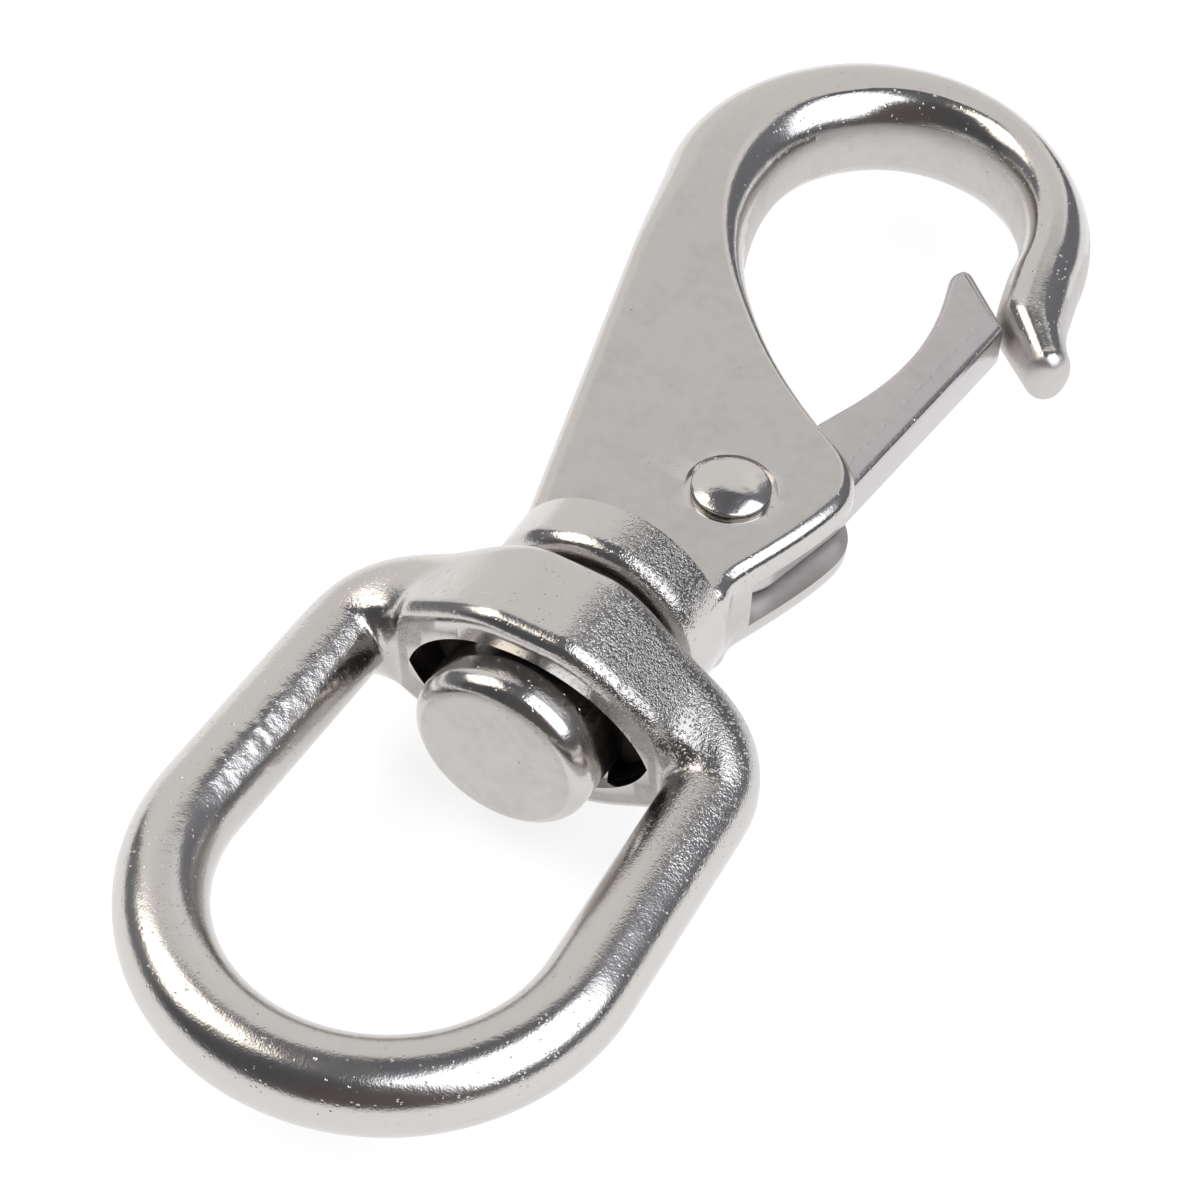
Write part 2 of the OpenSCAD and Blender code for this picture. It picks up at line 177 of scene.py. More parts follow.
# %% Smooth and resample rows
def relax(rows, passes, loop=False):
    """Each row moves to a quarter of each neighbour and half of itself."""
    for _ in range(passes):
        if loop:
            rows = 0.25 * np.roll(rows, 1, 0) + 0.5 * rows + 0.25 * np.roll(rows, -1, 0)
        else:
            inner = 0.25 * rows[:-2] + 0.5 * rows[1:-1] + 0.25 * rows[2:]
            rows = np.concatenate([rows[:1], inner, rows[-1:]])
    return rows


def evenly(rows, count, keys, loop=False):
    """Rows resampled at equal steps of the distance walked by their keys."""
    if loop:
        rows, keys = np.concatenate([rows, rows[:1]]), np.concatenate([keys, keys[:1]])
    walk = np.concatenate([[0], np.cumsum(np.linalg.norm(np.diff(keys, axis=0), axis=1))])
    at = np.linspace(0, walk[-1], count + 1)[:count] if loop else np.linspace(0, walk[-1], count)
    return np.stack([np.interp(at, walk, column) for column in rows.T], -1)


# %% [markdown]
# Every piece starts as a grid of points. Faces join each point to the next in
# its ring and to the ring after it. A turned part, such as the stem, is a grid
# too: its profile is carried round an axis.

# %% Make a mesh from a grid
def piece_from_grid(name, grid, loop=False, flat_ends=False):
    """Closed mesh over a grid of points, (rings, points in a ring, xyz).
    Rings close on themselves; a loop joins the last ring to the first. An end
    is closed by triangles to the ring's middle, or by one flat face."""
    n, m = grid.shape[:2]
    i, j = np.meshgrid(np.arange(n if loop else n - 1), np.arange(m), indexing="ij")
    k, l = (i + 1) % n, (j + 1) % m
    faces = np.stack([i * m + j, i * m + l, k * m + l, k * m + j], -1).reshape(-1, 4).tolist()
    points = grid.reshape(-1, 3)
    if flat_ends:
        faces += [list(range(m))[::-1], list(range((n - 1) * m, n * m))]
    elif not loop:
        points = np.concatenate([points, grid[0].mean(0)[None], grid[-1].mean(0)[None]])
        ring = np.arange(m)
        faces += np.stack([np.full(m, n * m), (ring + 1) % m, ring], -1).tolist()
        last = (n - 1) * m
        faces += np.stack([np.full(m, n * m + 1), last + ring, last + (ring + 1) % m], -1).tolist()
    mesh = bpy.data.meshes.new(name)
    mesh.from_pydata(to_frame(points).tolist(), [], faces)
    mesh.update()
    piece = bpy.data.objects.new(name, mesh)
    bpy.context.scene.collection.objects.link(piece)
    return piece


def turned(name, profile, origin, axis, steps=160):
    """A profile of (radius, height) turned about an axis through origin."""
    axis = np.asarray(axis, float)
    one = np.array([1.0, 0, 0]) if abs(axis[0]) < 0.5 else np.array([0, 0, 1.0])
    two = np.cross(axis, one)
    a = np.linspace(0, 2 * np.pi, steps, endpoint=False)
    spokes = np.cos(a)[:, None] * one + np.sin(a)[:, None] * two
    p = np.asarray(profile, float)
    grid = np.asarray(origin) + p[:, None, 1:2] * axis + p[:, None, 0:1] * spokes[None]
    return piece_from_grid(name, grid)


def arc(centre, r, start, stop, steps):
    """Points of an arc, for a profile."""
    return polar(centre, r, np.linspace(start, stop, steps)).tolist()


# %% [markdown]
# Slots, holes and recesses are cut with a Boolean modifier, as a cutter would
# cut them. Smooth shading is then switched off only where two faces meet at
# an edge that is sharp on the real part.

# %% Cut, join and shade
def combine(piece, tool, how):
    """Cut a tool from a piece, or join it on, and keep only the result."""
    modifier = piece.modifiers.new(how.lower(), "BOOLEAN")
    modifier.operation, modifier.object, modifier.solver = how, tool, "EXACT"
    bpy.context.view_layer.update()
    result = bpy.data.meshes.new_from_object(
        piece.evaluated_get(bpy.context.evaluated_depsgraph_get()))
    piece.modifiers.clear()
    piece.data = result
    bpy.data.objects.remove(tool)
    print(piece.name, how.lower(), "->", len(result.polygons), "faces")


def shade(piece, sharp_degrees=38):
    """Smooth shading, with edges kept where faces meet at more than an angle."""
    piece.data.polygons.foreach_set("use_smooth", np.ones(len(piece.data.polygons), bool))
    piece.data.set_sharp_from_angle(angle=np.radians(sharp_degrees))


# %% [markdown]
# ## The section of a bar
#
# The eye and the hook are both bars with a rounded section. Four quarter
# ellipses are joined by straight runs; when a quarter ellipse is as large as
# the half section, the straight runs vanish and the bar is oval. The steps of
# a straight run crowd towards its ends, so that the flat stays flat right up
# to the corner and reflects evenly.

# %% Bar sections
def bar_grid(at, across, half_w, half_h, near, far, lean=0, crease=0, corner=14, runs=(6, 12)):
    """Rings of a bar. For each station: the middle point, the direction of
    the near side in the plan, half width, half height, the corner radii
    (across, up) on the near and far side, the far side's lean, and
    the crease: the degrees by which a near corner stops short of level.
    A point is middle + across * u + up * z, where (u, z) walks the section."""
    n = len(at)
    half_w, half_h, lean, crease = (np.broadcast_to(np.asarray(x, float), n)[:, None]
                                    for x in (half_w, half_h, lean, crease))
    t = np.linspace(0, 1, corner + 1)[None]
    ring_u, ring_z = [], []
    for q in range(4):
        near_side, top = q in (0, 3), q < 2
        r = near if near_side else far
        rx = np.minimum(r[0][:, None], 0.985 * half_w)
        rz = np.minimum(r[1][:, None], 0.985 * half_h)
        reach = np.radians(90 - crease * near_side)
        rise = reach * (t if q in (0, 2) else 1 - t)
        z = (1 if top else -1) * (half_h - rz + rz * np.sin(rise) / np.sin(reach))
        u = (1 if near_side else -1) * (half_w - rx + rx * np.cos(rise))
        if not near_side:
            u = u - lean * z
        ring_u.append(u)
        ring_z.append(z)
    u, z = np.concatenate(ring_u, 1), np.concatenate(ring_z, 1)
    ends = np.arange(1, 5) * (corner + 1)
    pieces_u, pieces_z = [], []
    for q in range(4):
        first, last, then = q * (corner + 1), ends[q] - 1, ends[q] % u.shape[1]
        run = runs[1 - q % 2]
        s = (0.5 - 0.5 * np.cos(np.pi * np.arange(1, run) / run))[None]
        pieces_u += [u[:, first:last + 1], mix(u[:, last:last + 1], u[:, then:then + 1], s)]
        pieces_z += [z[:, first:last + 1], mix(z[:, last:last + 1], z[:, then:then + 1], s)]
    u, z = np.concatenate(pieces_u, 1), np.concatenate(pieces_z, 1)
    xy = at[:, None, :] + across[:, None, :] * u[..., None]
    return np.concatenate([xy, z[..., None]], -1)


# %% [markdown]
# ## The eye
#
# The eye is one cast loop: a round bar that bends up through two legs, turns
# in at the shoulders and swells in height into the boss that carries the
# swivel. The path is an arc, two legs, two shoulders and the cross bar; the
# section follows how far a station is round the shoulder and along the bar.

# %% Build the eye
def swell(x):
    """How far the cross bar has become the boss: 1 in the middle, 0 at its ends."""
    return 1 - ease((2 * abs(x) - BOSS_TOP_W) / (BOSS_W - BOSS_TOP_W))


def eye_path(count):
    """Points and outward directions all round the loop, at equal steps."""
    x = EYE_R - LEG_LEAN - EYE_SHOULDER_R
    low = np.linspace(180, 360, 181)
    leg = np.linspace(0, 1, 41)[1:-1, None]
    turn = np.linspace(0, 90, 61)
    right = polar([x, EYE_LEG], EYE_SHOULDER_R, turn)
    left = polar([-x, EYE_LEG], EYE_SHOULDER_R, 90 + turn)
    bar = np.linspace(1, -1, 161)[1:-1, None] * [x, 0] + [0, CROSS_Y]
    arc_points = polar([0, 0], EYE_R, low)
    points = np.concatenate([
        arc_points, mix(arc_points[-1], right[0], leg), right, bar, left,
        mix(left[-1], arc_points[0], leg)])
    angle = np.concatenate([low, 360 + 0 * leg[:, 0], 360 + turn, 450 + 0 * bar[:, 0],
                            450 + turn, 540 + 0 * leg[:, 0]])
    rows = np.concatenate([points, polar([0, 0], 1, angle)], 1)
    return evenly(rows, count, points, loop=True)


def eye_grid():
    """A bar whose half sizes are mixed from the round bar to the cross bar by
    g, how far round the shoulder, and to the boss by s, how far along it."""
    rows = relax(eye_path(420), 12, loop=True)
    at, across = rows[:, :2], unit(rows[:, 2:])
    g = ease((at[:, 1] - EYE_LEG) / EYE_SHOULDER_R)
    s = g * swell(at[:, 0])
    bar_r = EYE_BAR_D / 2
    edge = mix(bar_r, BOSS_EDGE_R, s)
    lip = mix(bar_r, BOSS_LIP_R, g)
    half_w = mix(bar_r, BOSS_L / 2, g)
    half_h = mix(mix(bar_r, CROSS_H / 2, g), BOSS_H / 2, s)
    return bar_grid(at, across, half_w, half_h, (edge, edge), (lip, lip), g * BOSS_LEAN)


eye = piece_from_grid("cast_eye", eye_grid(), loop=True)
print("eye:", len(eye.data.polygons), "faces")

# %% [markdown]
# The button sits in a lens-shaped recess: two round walls that meet in a fold
# at each side. The recess is a prism cut from the boss, its folds are cut
# deeper beside the button, and the stem's bore goes right through it.

# %% Cut the button's seat and the bore
def lens_outline(width, height, steps=48):
    """Two arcs of one radius through the folds at +-width/2, height apart."""
    r = (width ** 2 / 4 + height ** 2 / 4) / height
    half = np.degrees(np.arcsin(width / 2 / r))
    top = polar([0, height / 2 - r], r, np.linspace(90 - half, 90 + half, steps))
    return np.concatenate([top[:-1], -top[:-1]])


def prism_y(name, outline, y0, y1):
    """An outline in X and Z carried from y0 to y1."""
    x, z = outline.T
    rings = [np.stack([x, np.full(len(x), y), z], -1) for y in (y0, y1)]
    return piece_from_grid(name, np.array(rings)[:, ::-1])


SEAT_DROP = 0.4                      # how much less tall the seat is than in the source
FOLD_X, FOLD_DEPTH = 4.6, 1.6        # where the folds start, and how deep they go
lens = lens_outline(SEAT_W, SEAT_H - SEAT_DROP)
combine(eye, prism_y("seat_tool", lens, BOSS_BACK_Y - 3, SEAT_Y), "DIFFERENCE")
for side, ring in ((-1, lens), (1, np.roll(lens, len(lens) // 2, axis=0))):
    fold = ring[ring[:, 0] * side > FOLD_X]
    combine(eye, prism_y("fold_tool", fold, SEAT_Y - 0.2, SEAT_Y + FOLD_DEPTH), "DIFFERENCE")
bore_r = STEM_D / 2 + STEM_PLAY
combine(eye, turned("bore_tool", [(bore_r, -10), (bore_r, 10)],
                    (0, CROSS_Y, 0), (0, 1, 0)), "DIFFERENCE")
shade(eye)

# %% [markdown]
# ## The hook
#
# The hook is a plate at its cheeks and an oval bar round the bowl. Both are
# one loft: at each station there is an outer point, an inner point and how
# far each edge is rounded, from a plate's edge to an oval. The bowl comes
# first: its inner side is a circle squeezed a little, and its outer side lies
# a bar's width beyond the full circle.

# %% Set out the bowl and the nose
CHEEK = np.array([CHEEK_X, COLLAR_TOP_Y + CHEEK_Y])
NECK_Y = COLLAR_TOP_Y - COLLAR_H / 2
NECK_OUT, NECK_IN = np.array([-NECK_W / 2 - 0.05, NECK_Y]), np.array([NECK_W / 2 - 0.9, NECK_Y])
KNEE = np.array([BOWL_R + 0.65, NOSE_Y + 2.65])
LIP = np.array([BOWL_R + 6.25, NOSE_Y + 1.8])
TOE = LIP + [-2.2, -2.15]


def bar_w(a):
    """Width of the bowl's bar: full at the root, thinner to the nose."""
    return mix(BAR_NOSE_W, BAR_ROOT_W, ease((a - 45) / 85))


def bowl_out(a):
    """Outer side of the bowl: a circle's radius plus the bar's width."""
    return polar(BOWL_C, BOWL_R + bar_w(a), a)


def bowl_in(a):
    """Inner side of the bowl: a circle squeezed and shifted along X."""
    a = np.radians(a)
    x, y = BOWL_SHIFT + (BOWL_R - BOWL_SQUEEZE) * np.cos(a), BOWL_R * np.sin(a)
    return BOWL_C + np.stack([x, y], -1)


print("nose knee at", KNEE.round(2), "mm, lip at", LIP.round(2), "mm")

# %% [markdown]
# The stations walk up the cheeks, round the mouth, over the bowl and down the
# nose to its toe. Each stretch is a pair of curves with as many points on the
# outer side as on the inner side.

# %% Walk the hook's two sides
def hook_stations(count):
    """Columns: outer x, y; inner x, y; outer and inner rounding, from 0 for
    a plate's edge to 1 for an oval."""
    root_out = bowl_out(np.array([190.0]))[0]
    mouth_end = bowl_in(np.array([184.0]))[0]
    cheek_in = CHEEK - [0.1 * CHEEK_CORNER_R, CHEEK_CORNER_R]
    cheek_side = CHEEK - [0.5, 0.42 * CHEEK_Y]
    mouth = [mix(CHEEK, BOWL_C, 0.02) + [-0.85 * CHEEK_CORNER_R, 0.5 * CHEEK_CORNER_R],
             CHEEK + [-12.1, 7.1], mouth_end + [0.3, -8.6], mouth_end]
    nose_start = bowl_out(np.array([5.0]))[0]
    nose_outer = [nose_start, nose_start + [0.65, -2.9], LIP + [-1.3, 1.6], LIP]
    nose_in0 = bowl_in(np.array([0.0]))[0]
    nose_inner = [nose_in0, nose_in0 + [0.35, -1.4], KNEE + [-0.45, 1.0], KNEE]
    nose_under = [KNEE, KNEE + [0.9, -0.7], TOE + [-1.0, 0.9], TOE]

    def rows(outer, inner, far, near):
        """One stretch of stations; a single number holds for all of them."""
        n = len(outer)
        tail = [np.broadcast_to(np.asarray(x, float), n)[:, None] for x in (far, near)]
        return np.concatenate([outer, inner] + tail, 1)

    def left_side(t):
        """The straight left side, mixed from the neck to the bowl's root."""
        return mix(NECK_OUT, root_out, t[:, None])

    t = np.linspace(0, 1, 60)
    a = mix(190.0, 5.0, t)
    parts = [
        rows(left_side(t * 0.34), bezier([NECK_IN, cheek_side, cheek_in], t), 0, 0),
        rows(left_side(mix(0.34, 0.42, t))[1:], bezier([cheek_in, CHEEK, mouth[0]], t)[1:], 0, 0),
        rows(left_side(mix(0.42, 1, t))[1:], bezier(mouth, t)[1:],
             (0.5 * ease(2 * t - 1))[1:], ease(1.6 * t - 0.6)[1:]),
        rows(bowl_out(a)[1:], bowl_in(mix(184.0, 0.0, t))[1:], mix(0.5, 1, ease(2 * t))[1:], 1),
        rows(bezier(nose_outer, t * 0.62)[1:], bezier(nose_inner, t)[1:], 1, 1),
        rows(bezier(nose_outer, mix(0.62, 1, t))[1:], bezier(nose_under, t)[1:], 1, 1),
    ]
    table = np.concatenate(parts)
    return evenly(table, count, table[:, :4])


# %% [markdown]
# The loft's thickness is the plate's, and falls over the last stretch to the
# nose's tip. The tip itself is closed by a short run of shrinking sections.

# %% Build the hook's loft
def hook_grid():
    """Middle and half width from the two sides; half thickness less
    (plate - tip) / 2 * (1 - distance to the tip / run)^1.5 near the tip."""
    s = relax(hook_stations(560), 16)
    outer, inner, far, near = s[:, :2], s[:, 2:4], s[:, 4], s[:, 5]
    inner[:, 0] += 0.8 * np.exp(-((inner[:, 1] - COLLAR_TOP_Y) / 1.2) ** 2) * (near == 0)
    gap = inner - outer
    half_w = np.linalg.norm(gap, axis=1) / 2
    across, mid = unit(gap), (outer + inner) / 2
    to_tip = np.cumsum(np.linalg.norm(np.diff(mid, axis=0, append=mid[-1:]), axis=1)[::-1])[::-1]
    half = (BODY_T - (BODY_T - NOSE_T) * np.clip(1 - to_tip / NOSE_RUN, 0, 1) ** 1.5) / 2

    def radii(k, level):
        """Corner radii mixed by k from a plate's edge to an oval that keeps a
        level share of its width."""
        return mix(BODY_EDGE_R, (1 - level) * half_w, k), mix(BODY_EDGE_R, half, k)

    body = bar_grid(mid, across, half_w, half, radii(near, BOWL_LEVEL), radii(far, 0),
                    crease=14 * near * ease((inner[:, 0] + 9) / 4) * ease(1 - inner[:, 0] / 5))
    a = np.radians(np.linspace(4, 88, 14))
    ahead = np.array([-across[-1, 1], across[-1, 0]])
    w, h = half_w[-1] * np.cos(a), half[-1] * mix(1, np.cos(a), 0.55)
    tip_mid = mid[-1] + 0.8 * half_w[-1] * np.sin(a)[:, None] * ahead
    tip = bar_grid(tip_mid, np.repeat(across[-1:], len(a), 0), w, h,
                   ((1 - BOWL_LEVEL) * w, h), (w, h))
    return np.concatenate([body, tip])


hook = piece_from_grid("cast_hook", hook_grid())
print("hook:", len(hook.data.polygons), "faces")

# %% [markdown]
# The gate swings in a slot between the cheeks. The slot is round behind the
# gate's heel and open to the gate's side. The rivet's heads sit in two
# shallow round recesses, and a blind hole in the slot's floor takes the
# spring.

# %% Cut the slot, the rivet's recesses and the spring's hole
def prism_z(name, outline, half_height):
    """An outline in X and Y carried from -half_height to +half_height."""
    rings = [np.column_stack([outline, np.full(len(outline), z)])
             for z in (-half_height, half_height)]
    return piece_from_grid(name, np.array(rings))


slot_r = HEEL_R + HEEL_GAP
slot_top = CHEEK_Y - PIVOT_Y + 9.5          # past the mouth's edge, above the pivot
slot_outline = np.concatenate([
    polar(PIVOT, slot_r, np.linspace(180, 270, 40)),
    PIVOT + np.array([[20.0, -slot_r], [20.0, slot_top], [-slot_r, slot_top]])])
combine(hook, prism_z("slot_tool", slot_outline, SLOT_W / 2), "DIFFERENCE")
SLOT_X = PIVOT[0] - slot_r
HOLE_R, SPRING_AXIS_Y = SPRING_D / 2 + SPRING_GAP, PIVOT[1] + SPRING_Y
combine(hook, turned("spring_hole_tool", [(HOLE_R, -SPRING_HOLE), (HOLE_R, 1.0)],
                     (SLOT_X, SPRING_AXIS_Y, 0), (1, 0, 0), 48), "DIFFERENCE")
rivet_hole = [(RIVET_R + RIVET_PLAY, -5), (RIVET_R + RIVET_PLAY, 5)]
combine(hook, turned("rivet_hole_tool", rivet_hole, (*PIVOT, 0), (0, 0, 1), 96), "DIFFERENCE")
recess_r = HEAD_R + HEAD_GAP
for side in (-1, 1):
    combine(hook, turned("recess_tool", [(recess_r, -RECESS), (recess_r, 1)],
                         (*PIVOT, side * BODY_T / 2), (0, 0, side), 120), "DIFFERENCE")

# %% [markdown]
# The collar, the stem and the button are turned as one profile and joined to
# the hook. On the real part they are cast with it, and the eye's boss is
# pressed closed round the stem.

# %% Turn the stem and join it on
button_r, collar_r = BUTTON_D / 2, COLLAR_D / 2
face_edge, back_edge, collar_edge, collar_break = BUTTON_EDGE_R, 0.25, COLLAR_EDGE_R, 0.12
stem_profile = (
    arc([button_r - face_edge, BUTTON_FACE_Y + face_edge], face_edge, -90, 0, 18)
    + arc([button_r - back_edge, BUTTON_BACK_Y - back_edge], back_edge, 0, 90, 8)
    + [[STEM_D / 2, BUTTON_BACK_Y], [STEM_D / 2, COLLAR_Y]]
    + arc([collar_r - collar_edge, COLLAR_Y + collar_edge], collar_edge, -90, 0, 18)
    + [[collar_r, COLLAR_TOP_Y - collar_break], [collar_r - collar_break, COLLAR_TOP_Y]])
combine(hook, turned("stem_tool", stem_profile, (0, 0, 0), (0, 1, 0), 240), "UNION")
shade(hook)

# %% [markdown]
# ## The gate, the rivet and the spring
#
# The gate is a flat casting: its outline is a round heel, a straight outer
# side, a slanted end that meets the nose, and a hollow inner side. The
# outline is pulled in step by step towards both faces, so that both rims are
# rounded. The rivet's bore and the spring's pocket are cut last, out of sight
# between the cheeks.

# %% Build the gate
GATE_T = SLOT_W - 2 * GATE_PLAY
GATE_ROOT = PIVOT + [HEEL_R + 1.25, 4.5]
SLANT = unit(np.array([1.0, -1.0]))
NOSE_GAP = 0.2
GATE_END = KNEE + 0.57 * SLANT - NOSE_GAP * unit(np.array([1.0, 1.0]))
GATE_CORNER = GATE_END + 1.25 * SLANT
GATE_TIP = GATE_END + [-4.1, 1.85]
GATE_WAIST = np.array([GATE_CORNER[0] - 0.62 - 3.45, PIVOT[1] + 18])


def gate_outline():
    """Anticlockwise: heel, outer side, slanted end, tip, and the hollow inner
    side as one smooth curve from the tip down to the heel."""
    heel_top = polar(PIVOT, HEEL_R + 4.55, np.array([84.0]))[0]
    hollow = [GATE_TIP + [0.06, -0.6], GATE_TIP + [0.95, -3.8], GATE_WAIST + [1.15, -0.4],
              heel_top + [0.9, 2.3]]
    corners = np.concatenate([
        polar(PIVOT, HEEL_R, np.linspace(148, 340, 60)),
        [GATE_ROOT, GATE_CORNER, GATE_TIP + [1.0, 0.8], GATE_TIP + [0.4, 0.8], GATE_TIP],
        bezier(hollow, np.linspace(0, 1, 60)), [heel_top]])
    return relax(evenly(corners, 900, corners, loop=True), 14, loop=True)


def gate_grid(depth=0.5, height=0.55, steps=10):
    """The outline pulled in along its own normal, rim by rim. Each rim is a
    quarter ellipse: depth * (1 - cos a) inwards at half - height * (1 - sin a)."""
    line = gate_outline()
    along = unit(np.roll(line, -1, 0) - np.roll(line, 1, 0))
    outward = np.stack([along[:, 1], -along[:, 0]], 1)
    a = np.radians(np.linspace(0, 90, steps))
    pull = depth * (1 - np.cos(a))
    level = GATE_T / 2 - height * (1 - np.sin(a))
    pull, level = np.append(pull[::-1], pull), np.append(-level[::-1], level)
    return np.concatenate([line[None] - outward[None] * pull[:, None, None],
                           np.broadcast_to(level[:, None, None], (2 * steps, len(line), 1))], -1)


gate = piece_from_grid("cast_gate", gate_grid(), flat_ends=True)
POCKET_X = PIVOT[0] - GATE_POCKET
combine(gate, turned("gate_bore_tool", rivet_hole, (*PIVOT, 0), (0, 0, 1), 96), "DIFFERENCE")
combine(gate, turned("gate_pocket_tool", [(HOLE_R, -HEEL_R), (HOLE_R, 0)],
                     (POCKET_X, SPRING_AXIS_Y, 0), (1, 0, 0), 48), "DIFFERENCE")
print("gate:", len(gate.data.polygons), "faces")

# %% [markdown]
# The rivet is one profile turned about the pivot: a shank with the same head
# at both ends, each with an upright rim and a shallow dome. The spring is a
# round wire wound about X, from the blind hole to the gate's pocket. It is
# drawn at its rest length, and stays so when the gate opens.

# %% Build the rivet and the spring
seat_z = BODY_T / 2 - RECESS
RIM, RISE = 0.62, 0.53               # upright part of a head, and its dome
dome_w = HEAD_R - 0.06
dome_r = (dome_w ** 2 + RISE ** 2) / (2 * RISE)
tilt = np.degrees(np.arcsin(dome_w / dome_r))
dome = arc([0, seat_z + RIM + RISE - dome_r], dome_r, 90 - tilt, 89.5, 24)
half_rivet = [[RIVET_R, 0.2], [RIVET_R, seat_z], [HEAD_R - 0.05, seat_z],
              [HEAD_R, seat_z + 0.05], [HEAD_R, seat_z + RIM - 0.08]] + dome
whole = [[r, -z] for r, z in half_rivet[::-1]] + half_rivet
rivet = turned("headed_rivet", whole, (*PIVOT, 0), (0, 0, 1), 128)


def coil_grid(round_steps=12):
    """Rings of the wire along a helix about X: x grows by the pitch in each
    turn, while y and z go round a circle of radius r."""
    wire_r = SPRING_WIRE / 2
    start = SLOT_X - SPRING_HOLE + SPRING_GAP + wire_r
    length = POCKET_X - SPRING_GAP - wire_r - start
    a = np.linspace(0, 2 * np.pi * SPRING_TURNS, 48 * SPRING_TURNS + 1)
    sin, cos = np.sin(a), np.cos(a)
    r, pitch = SPRING_D / 2 - wire_r, length / SPRING_TURNS
    mid = np.stack([start + pitch * a / (2 * np.pi), SPRING_AXIS_Y + r * cos, r * sin], -1)
    out = np.stack([0 * a, cos, sin], -1)
    along = unit(np.stack([0 * a + pitch, -2 * np.pi * r * sin, 2 * np.pi * r * cos], -1))
    side = np.cross(along, out)
    b = np.linspace(0, 2 * np.pi, round_steps, endpoint=False)[None, :, None]
    return mid[:, None] + wire_r * (np.cos(b) * out[:, None] + np.sin(b) * side[:, None])


spring = piece_from_grid("gate_coil", coil_grid())
for piece, sharp_degrees in ((gate, 25), (rivet, 38), (spring, 60)):
    shade(piece, sharp_degrees)
    print(piece.name, len(piece.data.polygons), "faces")

# %% [markdown]
# ## Steel
#
# Shader maths reads best as ordinary expressions. The small class below wraps
# a socket, so `1 - mask` or `noise * 0.3` adds the Math nodes by itself.

# %% A socket that understands arithmetic
class Wire:
    """A node output with + - and *, in either order."""

    def __init__(self, tree, socket):
        self.tree, self.socket = tree, socket

    def math(self, operation, a, b):
        """A Math node of a and b, which are wires or plain numbers."""
        node = self.tree.nodes.new("ShaderNodeMath")
        node.operation = operation
        for k, value in enumerate((a, b)):
            if isinstance(value, Wire):
                self.tree.links.new(value.socket, node.inputs[k])
            else:
                node.inputs[k].default_value = value
        return Wire(self.tree, node.outputs[0])

    def __add__(self, other): return self.math("ADD", self, other)
    def __radd__(self, other): return self.math("ADD", other, self)
    def __sub__(self, other): return self.math("SUBTRACT", self, other)
    def __rsub__(self, other): return self.math("SUBTRACT", other, self)
    def __mul__(self, other): return self.math("MULTIPLY", self, other)
    def __rmul__(self, other): return self.math("MULTIPLY", other, self)

    def twin(self, name):
        """Another output of the same node."""
        return Wire(self.tree, self.socket.node.outputs[name])

    def step(self, low, high):
        """Smooth step from low to high, as a Map Range node."""
        node = self.tree.nodes.new("ShaderNodeMapRange")
        node.interpolation_type = "SMOOTHSTEP"
        self.tree.links.new(self.socket, node.inputs["Value"])
        node.inputs["From Min"].default_value = low
        node.inputs["From Max"].default_value = high
        return Wire(self.tree, node.outputs[0])


class Finish:
    """The nodes of a material or a world, with one method that adds any node."""

    def __init__(self, owner):
        self.owner = owner
        owner.use_nodes = True
        self.tree = owner.node_tree
        self.tree.nodes.clear()

    def node(self, kind, settings=None, out=0, **sockets):
        """A node's kind, its settings first, then values or wires for its
        sockets, by name or as _0, _1 by number. Gives output number out."""
        node = self.tree.nodes.new("ShaderNode" + kind)
        for key, value in (settings or {}).items():
            setattr(node, key, value)
        for key, value in sockets.items():
            socket = node.inputs[int(key[1:]) if key[1:].isdigit() else key.replace("_", " ")]
            if isinstance(value, Wire):
                self.tree.links.new(value.socket, socket)
            else:
                socket.default_value = value
        return Wire(self.tree, node.outputs[out])

    def finish(self, shader, kind="OutputMaterial"):
        """Links the shader to an output node and gives the owner back."""
        end = self.tree.nodes.new("ShaderNode" + kind)
        self.tree.links.new(shader.socket, end.inputs["Surface"])
        return self.owner
